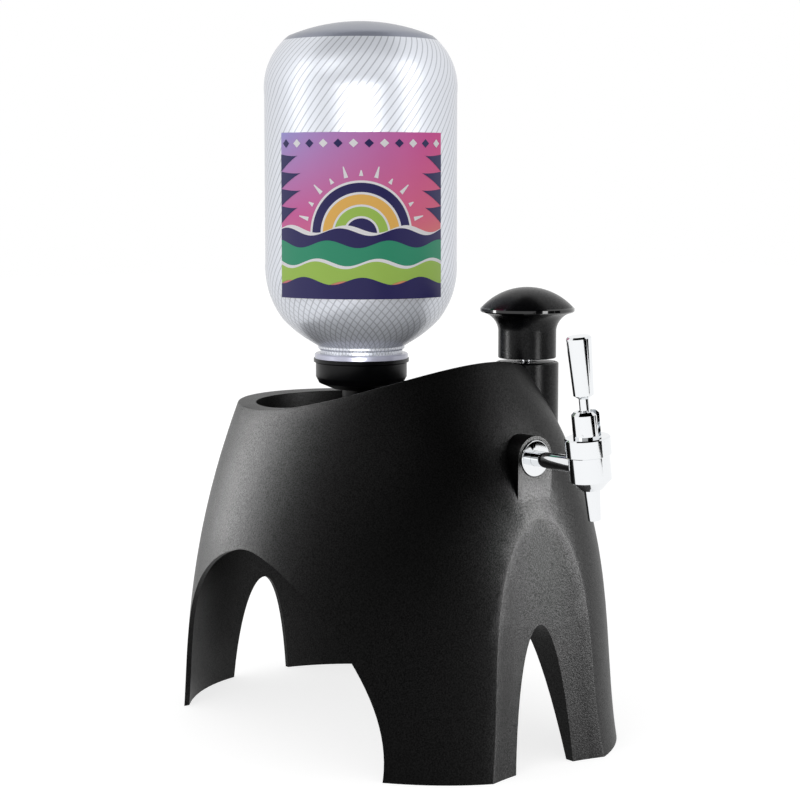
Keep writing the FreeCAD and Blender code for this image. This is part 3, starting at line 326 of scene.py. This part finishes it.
# Each finish starts from the real material and how its surface was made.
STAND_ABS = Finish("stand_abs_spark_eroded", "#020202", 0.4, specular=0.085, grain_mm=0.9,
                   relief_mm=0.12, wander=0.05, spark=0.5)  # eroded mould: grainy, broad highlights
LINER_ABS = Finish("liner_abs_satin", "#0c0c0d", 0.34, specular=0.3, grain_mm=1.0, relief_mm=0.02)
PUMP_ABS = Finish("pump_abs_fine", "#040405", 0.27, specular=0.2, grain_mm=0.9,
                  relief_mm=0.04, wander=0.03, spark=0.4)  # smoother mould: soft upright highlights
LIP_ABS = Finish("lip_abs_polished", "#060607", 0.1, specular=0.4, coat=0.4, grain_mm=1.5,
                 relief_mm=0.004)  # hand-polished band of the mould
CHROME = Finish("tap_chrome_plated", "#ebedef", 0.05, metal=1.0, wander=0.012)  # plated, mirror-like
STEEL = Finish("stainless_steel_turned", "#b9babd", 0.24, metal=1.0, grain_mm=0.5, relief_mm=0.004)
ZINC = Finish("zinc_plated_steel", "#a9acb0", 0.32, metal=1.0, grain_mm=0.4, relief_mm=0.006)
RUBBER = Finish("seal_rubber_moulded", "#131313", 0.62, specular=0.4, grain_mm=0.5, relief_mm=0.01)
HOSE = Finish("hose_silicone_clear", "#c4cacc", 0.22, specular=0.45, clear=0.55, grain_mm=2.0,
              relief_mm=0.01)
ACETAL = Finish("coupler_acetal_black", "#101011", 0.36, specular=0.45, grain_mm=0.8, relief_mm=0.01)
CAP_PP = Finish("cap_polypropylene_black", "#08080a", 0.36, specular=0.25, grain_mm=1.2,
                relief_mm=0.03)
RING_PET = Finish("neck_ring_pet_silver", "#a9aaba", 0.3, metal=0.35, specular=0.5, coat=0.4,
                  grain_mm=3.0, relief_mm=0.01)
KEG_FILM = NetFilm("keg_pet_silver_film", "#cdd0d7", 0.36, metal=0.5, specular=0.5, coat=0.2,
                   wander=0.03)
PAPER = LabelPaper("label_paper_satin", "#e8559b", 0.36, specular=0.4, grain_mm=0.8, relief_mm=0.004)


class Ink(Enum):
    """Inks of the label's print, all laid on as a thin satin film."""

    NAVY = Finish("ink_navy", "#2a2560", 0.34, specular=0.4, grain_mm=0.8, relief_mm=0.003)
    WHITE = Finish("ink_white", "#f3f1f4", 0.34, specular=0.4, grain_mm=0.8, relief_mm=0.003)
    GREEN = Finish("ink_green", "#a9ce5c", 0.34, specular=0.4, grain_mm=0.8, relief_mm=0.003)
    TEAL = Finish("ink_teal", "#339a76", 0.34, specular=0.4, grain_mm=0.8, relief_mm=0.003)
    GOLD = Finish("ink_gold", "#f7c062", 0.34, specular=0.4, grain_mm=0.8, relief_mm=0.003)


# Sub-assemblies
@dataclass
class Assembly:
    """A group of CAD nodes with their finishes."""

    name: str = ""
    finishes: tuple[tuple[Finish, Sequence[str]], ...] = ()

    def dress(self) -> None:
        """Put the finishes and the smooth shading on the nodes."""
        for finish, nodes in self.finishes:
            material = finish.build()
            for node in nodes:
                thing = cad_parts[node]
                thing.data.materials.clear()
                thing.data.materials.append(material)
                smooth = thing.modifiers.new("smooth_seams", "NODES")
                smooth.node_group = seam_smoother()
                LOG.info("%s: dressed %s as %s", self.name, node, finish.name)

    def nodes(self) -> list[bpy.types.Object]:
        """All objects of the group."""
        return [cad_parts[node] for _, names in self.finishes for node in names]

    def build(self) -> None:
        """Make the whole group."""
        self.dress()


@dataclass
class Stand(Assembly):
    """Moulded stand with the liner of its well."""

    name: str = "stand"
    finishes: tuple[tuple[Finish, Sequence[str]], ...] = (
        (STAND_ABS, ("base_shell",)),
        (LINER_ABS, ("well_liner",)),
        (ZINC, ("liner_screws", "hose_clips")),
        (HOSE, ("air_hose", "beer_hose")))


@dataclass
class Coupler(Assembly):
    """Keg coupler in the bottom of the well."""

    name: str = "coupler"
    finishes: tuple[tuple[Finish, Sequence[str]], ...] = (
        (ACETAL, ("coupler_body", "coupler_nut", "beer_elbow")),
        (STEEL, ("spear",)),
        (RUBBER, ("coupler_seal", "air_valve")))


@dataclass
class Pump(Assembly):
    """Hand air pump with its mushroom knob."""

    name: str = "pump"
    finishes: tuple[tuple[Finish, Sequence[str]], ...] = (
        (PUMP_ABS, ("pump_tube", "pump_gland", "pump_foot", "pump_clamp", "piston", "knob_grip",
                    "knob_cap")),
        (LIP_ABS, ("knob_ring",)),
        (STEEL, ("plunger_rod",)),
        (ZINC, ("piston_nut",)),
        (RUBBER, ("gland_wiper", "foot_valve", "piston_seal")))


@dataclass
class Tap(Assembly):
    """Chrome lever tap on its shank."""

    name: str = "tap"
    finishes: tuple[tuple[Finish, Sequence[str]], ...] = (
        (CHROME, ("tap_shank", "shank_flange", "shank_nut", "tap_body", "tap_nozzle", "tap_collar",
                  "tap_bonnet", "tap_lever", "lever_pin")),
        (STEEL, ("valve_stem", "valve_spring")),
        (RUBBER, ("shank_gasket", "stem_seal", "valve_washer")))


@dataclass
class Keg(Assembly):
    """Plastic keg with its cap, neck ring and label, and the print on the label."""

    name: str = "keg"
    finishes: tuple[tuple[Finish, Sequence[str]], ...] = (
        (KEG_FILM, ("keg_bottle",)),
        (RING_PET, ("neck_ring",)),
        (CAP_PP, ("keg_cap",)),
        (RUBBER, ("cap_grommet",)),
        (PAPER, ("keg_label",)))
    lift_mm: float = 0.06
    layer_mm: float = 0.02
    mesh_mm: float = 2.0
    sun: Spot = (64.5, 45.0)
    rings: tuple[tuple[Ink, float, float], ...] = (
        (Ink.WHITE, 0.0, 37.0), (Ink.NAVY, 29.0, 35.4), (Ink.GOLD, 20.5, 27.4), (Ink.GREEN, 12.5, 19.0),
        (Ink.NAVY, 0.0, 11.0))
    waves: tuple[tuple[Ink, float, float, float], ...] = (
        (Ink.WHITE, 40.0, 48.5, 0.0), (Ink.NAVY, 30.0, 46.5, 0.6), (Ink.TEAL, 18.0, 38.0, 1.9),
        (Ink.WHITE, 14.0, 25.5, 3.0), (Ink.GREEN, 10.0, 23.5, 3.2), (Ink.NAVY, 0.0, 12.5, 4.6))
    wave_mm: float = 43.0
    swell_mm: float = 2.6
    teeth: tuple[float, float, float, float] = (52.0, 100.0, 12.0, 21.0)  # low, high, pitch, reach
    gems: tuple[float, float, float, float] = (107.5, 10.75, 3.3, 3.0)  # height, pitch, half sizes
    ring_step_deg: float = 3.0
    ray_deg: float = 15.0
    ray_gap: float = 3.0
    ray_reach: tuple[float, float] = (7.0, 11.0)
    ray_half: float = 1.5
    tooth_steps: int = 12
    tooth_rise: float = 5.0
    tooth_curve: float = 1.3
    tooth_fall: float = 0.55

    def start_print(self) -> None:
        """Measure the label and empty the print."""
        low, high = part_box("keg_label")
        self.axis = keg_axis()
        self.radius = high[0] - self.axis[0]
        self.floor = low[2]
        self.wide = math.radians(LABEL_END - LABEL_START) * self.radius / MM
        self.points: list[Point] = []
        self.faces: list[tuple[int, int, int, int]] = []
        self.inks: list[int] = []
        self.layer = 0

    def spot(self, across: float, up: float) -> Point:
        """Point on the print.

        Args:
            across: Distance from the label's first edge, round the keg, in millimetres.
            up: Height over its lower edge in millimetres.

        Returns:
            The point in metres.
        """
        turn = math.radians(LABEL_START) + across * MM / self.radius
        far = self.radius + (self.lift_mm + self.layer * self.layer_mm) * MM
        return (self.axis[0] + far * math.cos(turn), self.axis[1] + far * math.sin(turn),
                self.floor + up * MM)

    def band(self, ink: Ink, pairs: Sequence[tuple[Spot, Spot]], rise: bool = True) -> None:
        """Lay a band of ink between two rows of points.

        Args:
            ink: Ink of the band.
            pairs: Points of the two rows, side by side, in millimetres on the label.
            rise: The next band lies one layer higher.
        """
        parts = max(1, math.ceil(max(math.dist(a, b) for a, b in pairs) / self.mesh_mm))
        first = len(self.points)
        for (ax, ay), (bx, by) in pairs:
            for k in range(parts + 1):
                t = k / parts
                self.points.append(self.spot(ax + (bx - ax) * t, ay + (by - ay) * t))
        row = parts + 1
        for i in range(len(pairs) - 1):
            for k in range(parts):
                a = first + i * row + k
                self.faces.append((a, a + row, a + row + 1, a + 1))
                self.inks.append(list(Ink).index(ink))
        self.layer += rise

    def half_sun(self) -> None:
        """Lay the rings of the half sun and its rays."""
        cx, cy = self.sun
        outer = self.rings[0][2]
        for ink, near, far in self.rings:
            turns = [math.radians(self.ring_step_deg * i) for i in range(int(180 / self.ring_step_deg) + 1)]
            self.band(ink, [((cx + near * math.cos(t), cy + near * math.sin(t)),
                             (cx + far * math.cos(t), cy + far * math.sin(t))) for t in turns])
        for i in range(1, int(180 / self.ray_deg)):
            t = math.radians(i * self.ray_deg)
            near, far = outer + self.ray_gap, outer + self.ray_reach[i % 2]
            edges = []
            for way in (-1, 1):
                foot, tip = way * self.ray_half, way * self.ray_half / 4
                edges.append(((cx + near * math.cos(t) - foot * math.sin(t),
                               cy + near * math.sin(t) + foot * math.cos(t)),
                              (cx + far * math.cos(t) - tip * math.sin(t),
                               cy + far * math.sin(t) + tip * math.cos(t))))
            self.band(Ink.WHITE, edges, rise=False)
        self.layer += 1

    def sea(self) -> None:
        """Lay the waves along the foot of the label."""
        columns = math.ceil(self.wide / self.mesh_mm)
        for ink, low, high, phase in self.waves:
            pairs = []
            for i in range(columns + 1):
                x = self.wide * i / columns
                crest = self.swell_mm * math.sin(2 * math.pi * x / self.wave_mm + phase)
                pairs.append(((x, max(0.0, low - crest if low else 0.0)), (x, high + crest)))
            self.band(ink, pairs)

    def edges(self) -> None:
        """Lay the toothed edges and the row of gems along the top."""
        low, high, pitch, reach = self.teeth
        count = int((high - low) / pitch)
        for i in range(count):
            foot = low + i * pitch
            long = reach * (1.0 - self.tooth_fall * abs(i - (count - 1) / 2) / count)
            for edge, way in ((0.0, 1), (self.wide, -1)):
                pairs = []
                for k in range(self.tooth_steps + 1):
                    t = k / self.tooth_steps
                    x = edge + way * long * t
                    half = (1 - t) ** self.tooth_curve * pitch * 0.5
                    middle = foot + pitch / 2 + self.tooth_rise * t
                    pairs.append(((x, middle - half), (x, middle + half)))
                self.band(Ink.NAVY, pairs if way > 0 else pairs[::-1], rise=False)
        self.layer += 1
        up, pitch, half_wide, half_tall = self.gems
        for i in range(int(self.wide / pitch)):
            x = pitch * (i + 0.5) + (self.wide - pitch * int(self.wide / pitch)) / 2
            self.band(Ink.WHITE if i % 2 else Ink.NAVY,
                      [((x - half_wide, up), (x - half_wide, up)), ((x, up - half_tall), (x, up + half_tall)),
                       ((x + half_wide, up), (x + half_wide, up))], rise=False)
        self.layer += 1

    def print_label(self) -> None:
        """Make the print, as one thin mesh that rides on the keg."""
        self.start_print()
        self.half_sun()
        self.edges()
        self.sea()
        mesh = bpy.data.meshes.new("label_print")
        mesh.from_pydata(self.points, [], self.faces)
        for ink in Ink:
            mesh.materials.append(ink.value.build())
        mesh.polygons.foreach_set("material_index", self.inks)
        mesh.polygons.foreach_set("use_smooth", [True] * len(self.faces))
        mesh.update()
        label_print = bpy.data.objects.new("label_print", mesh)
        bpy.context.scene.collection.objects.link(label_print)
        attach(label_print, "keg")
        LOG.info("keg: made label_print with %d faces", len(self.faces))

    def build(self) -> None:
        """Dress the keg and print its label."""
        self.dress()
        self.print_label()


# Studio
class Target(Enum):
    """Which parts a lamp lights."""

    STAND = "stand"
    PUMP = "pump"
    KEG = "keg"
    TAP = "tap"
    ALL = "all"


@dataclass(frozen=True)
class Lamp:
    """A soft box that faces the middle of the object.

    Attributes: its bearing in degrees, distance, height, width and tallness in metres, and radiance.
    """

    name: str
    side: float
    far: float
    height: float
    wide: float
    tall: float
    radiance: float
    target: Target = Target.ALL

    def power(self) -> float:
        """Watts that give the radiance."""
        return self.radiance * math.pi * self.wide * self.tall


@dataclass
class Studio:
    """Camera, floor, white surround, soft boxes and black flags.

    Attributes: groups holds the parts that each target's lamps light. The camera's place and direction
    are in metres, its focal length in pixels of the square picture. Each flag has its bearing, distance,
    width, lower and upper edge. The roof is a flag overhead: its middle, height and half width.
    """

    groups: dict[Target, list[bpy.types.Object]]
    eye: Point = (1.09895, -0.8793, 0.39035)
    look: Point = (-0.77959, 0.61651, -0.11020)
    focal_px: float = 1999.0
    frame_px: float = 800.0
    sensor_mm: float = 36.0
    aim: Point = (0.0, 0.0, 0.25)
    floor_half: float = 6.0
    floor_glow: float = 0.78
    plain_light: float = 0.8
    lamps: tuple[Lamp, ...] = (
        Lamp("left_box", -154.0, 1.3, 0.55, 0.75, 1.1, 12.0, Target.STAND),
        Lamp("right_box", 34.0, 1.1, 0.3, 0.7, 0.62, 50.0, Target.STAND),
        Lamp("pump_left_box", -127.0, 1.3, 0.4, 0.22, 0.8, 16.0, Target.PUMP),
        Lamp("pump_right_box", 4.0, 1.2, 0.4, 0.26, 0.8, 9.0, Target.PUMP),
        Lamp("keg_left_box", -116.0, 1.1, 0.62, 0.3, 1.0, 1.9, Target.KEG),
        Lamp("keg_right_box", 24.0, 1.0, 0.62, 0.28, 1.0, 3.4, Target.KEG),
        Lamp("keg_fill", -43.0, 1.7, 1.45, 3.2, 2.6, 0.45, Target.KEG),
        Lamp("keg_under", -40.0, 1.2, 0.13, 0.9, 0.4, 13.0, Target.KEG),
        Lamp("tap_left_box", -72.0, 1.2, 0.3, 1.7, 0.9, 0.45, Target.TAP),
        Lamp("soft_key", -70.0, 2.2, 1.6, 1.2, 1.2, 2.2),
    )
    flags: tuple[tuple[str, float, float, float, float, float], ...] = (
        ("flag_front", -43.0, 1.9, 3.6, 0.28, 2.6),
        ("flag_tap", 4.0, 1.3, 1.1, -0.02, 0.34),
        ("flag_flange", 36.0, 1.3, 0.36, 0.09, 0.34),
    )
    roof: tuple[float, float, float, float] = (0.7, -0.7, 2.3, 1.5)

    def camera(self) -> None:
        """Set up the camera at the picture's viewpoint."""
        data = bpy.data.cameras.new("camera")
        data.sensor_width = self.sensor_mm
        data.lens = self.sensor_mm * self.focal_px / self.frame_px
        data.clip_end = 20.0
        camera = bpy.data.objects.new("camera", data)
        camera.location = self.eye
        camera.rotation_euler = Vector(self.look).to_track_quat("-Z", "Y").to_euler()
        bpy.context.scene.collection.objects.link(camera)
        bpy.context.scene.camera = camera

    def surround(self) -> None:
        """White world for the camera, metal and glass; a lower level for plain light."""
        world = bpy.data.worlds.new("surround")
        bpy.context.scene.world = world
        world.use_nodes = True
        tree = world.node_tree
        seen = seen_level(tree)
        level = add_node(tree, "ShaderNodeMapRange", {"To Min": self.plain_light, "To Max": 1.0},
                         Value=seen.outputs[0])
        back = tree.nodes["Background"]
        back.inputs["Color"].default_value = (1.0, 1.0, 1.0, 1.0)
        tree.links.new(level.outputs[0], back.inputs["Strength"])

    def floor(self) -> None:
        """Pale floor that shows as white and keeps the soft shadow."""
        mesh = bpy.data.meshes.new("floor")
        half = self.floor_half
        mesh.from_pydata([(-half, -half, 0), (half, -half, 0), (half, half, 0), (-half, half, 0)], [],
                         [(0, 1, 2, 3)])
        floor = bpy.data.objects.new("floor", mesh)
        material = bpy.data.materials.new("floor_paint_white")
        material.use_nodes = True
        tree = material.node_tree
        paint = tree.nodes["Principled BSDF"]
        paint.inputs["Base Color"].default_value = linear("#a0a0a0")
        paint.inputs["Roughness"].default_value = 1.0
        paint.inputs["Specular IOR Level"].default_value = 0.0
        seen = seen_level(tree)
        level = add_node(tree, "ShaderNodeMath", {"operation": "MULTIPLY", 1: self.floor_glow},
                         in0=seen.outputs[0])
        glow = add_node(tree, "ShaderNodeEmission", Strength=level.outputs[0])
        both = add_node(tree, "ShaderNodeAddShader", in0=paint.outputs[0], in1=glow.outputs[0])
        tree.links.new(both.outputs[0], tree.nodes["Material Output"].inputs["Surface"])
        floor.data.materials.append(material)
        bpy.context.scene.collection.objects.link(floor)

    def lights(self) -> None:
        """Soft boxes round the object; some light one group of parts alone."""
        middle = Vector(self.aim)
        for lamp in self.lamps:
            data = bpy.data.lights.new(lamp.name, "AREA")
            data.shape, data.size, data.size_y = "RECTANGLE", lamp.wide, lamp.tall
            data.energy = lamp.power()
            thing = bpy.data.objects.new(lamp.name, data)
            turn = math.radians(lamp.side)
            thing.location = (lamp.far * math.cos(turn), lamp.far * math.sin(turn), lamp.height)
            thing.rotation_euler = (middle - thing.location).to_track_quat("-Z", "Y").to_euler()
            bpy.context.scene.collection.objects.link(thing)
            if lamp.target in self.groups:
                lit = bpy.data.collections.new(lamp.name + "_lit")
                for part in self.groups[lamp.target]:
                    lit.objects.link(part)
                thing.light_linking.receiver_collection = lit

    def card(self, name: str, corners: Sequence[Sequence[float]]) -> None:
        """Put up one black card, seen in reflections alone.

        Args:
            name: Name of the card.
            corners: Its four corners in order.
        """
        material = bpy.data.materials.get("flag_felt_black")
        if not material:
            material = bpy.data.materials.new("flag_felt_black")
            material.use_nodes = True
            felt = material.node_tree.nodes["Principled BSDF"]
            felt.inputs["Base Color"].default_value = linear("#020202")
            felt.inputs["Roughness"].default_value = 1.0
            felt.inputs["Specular IOR Level"].default_value = 0.0
        mesh = bpy.data.meshes.new(name)
        mesh.from_pydata(corners, [], [(0, 1, 2, 3)])
        mesh.materials.append(material)
        flag = bpy.data.objects.new(name, mesh)
        flag.visible_camera = flag.visible_diffuse = flag.visible_shadow = False
        flag.visible_transmission = False
        bpy.context.scene.collection.objects.link(flag)

    def black_flags(self) -> None:
        """Black cards that keep the black plastic black and give the chrome its dark stripes."""
        for name, side, far, wide, low, high in self.flags:
            turn = math.radians(side)
            middle = Vector((far * math.cos(turn), far * math.sin(turn), low))
            across = Vector((-math.sin(turn), math.cos(turn), 0.0)) * (wide / 2)
            up = Vector((0.0, 0.0, high - low))
            self.card(name, [middle - across, middle + across, middle + across + up, middle - across + up])
        x, y, z, half = self.roof
        self.card("flag_roof", [(x - half, y - half, z), (x + half, y - half, z),
                                (x + half, y + half, z), (x - half, y + half, z)])

    def build(self) -> None:
        """Set up the whole studio."""
        self.camera()
        self.surround()
        self.floor()
        self.lights()
        self.black_flags()
        bpy.context.scene.view_settings.view_transform = "Standard"
        LOG.info("studio set up")


def main() -> None:
    """Build the sub-assemblies in order and set up the studio."""
    stand, coupler, pump, tap, keg = Stand(), Coupler(), Pump(), Tap(), Keg()
    for assembly in (stand, coupler, pump, tap, keg):
        assembly.build()
        LOG.info("built %s", assembly.name)
    shiny = [node for node in keg.nodes() if node.name.startswith(("keg_bottle", "neck_ring"))]
    Studio({Target.STAND: stand.nodes(), Target.PUMP: pump.nodes(), Target.TAP: tap.nodes(),
            Target.KEG: shiny}).build()


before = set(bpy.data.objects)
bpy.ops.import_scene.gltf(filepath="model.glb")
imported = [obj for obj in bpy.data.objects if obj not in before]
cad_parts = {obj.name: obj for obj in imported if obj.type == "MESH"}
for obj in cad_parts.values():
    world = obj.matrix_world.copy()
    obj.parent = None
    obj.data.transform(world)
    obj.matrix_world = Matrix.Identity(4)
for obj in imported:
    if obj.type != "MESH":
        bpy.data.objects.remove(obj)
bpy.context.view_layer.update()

if __name__ == "__main__":
    logging.basicConfig(level=logging.INFO)
    main()
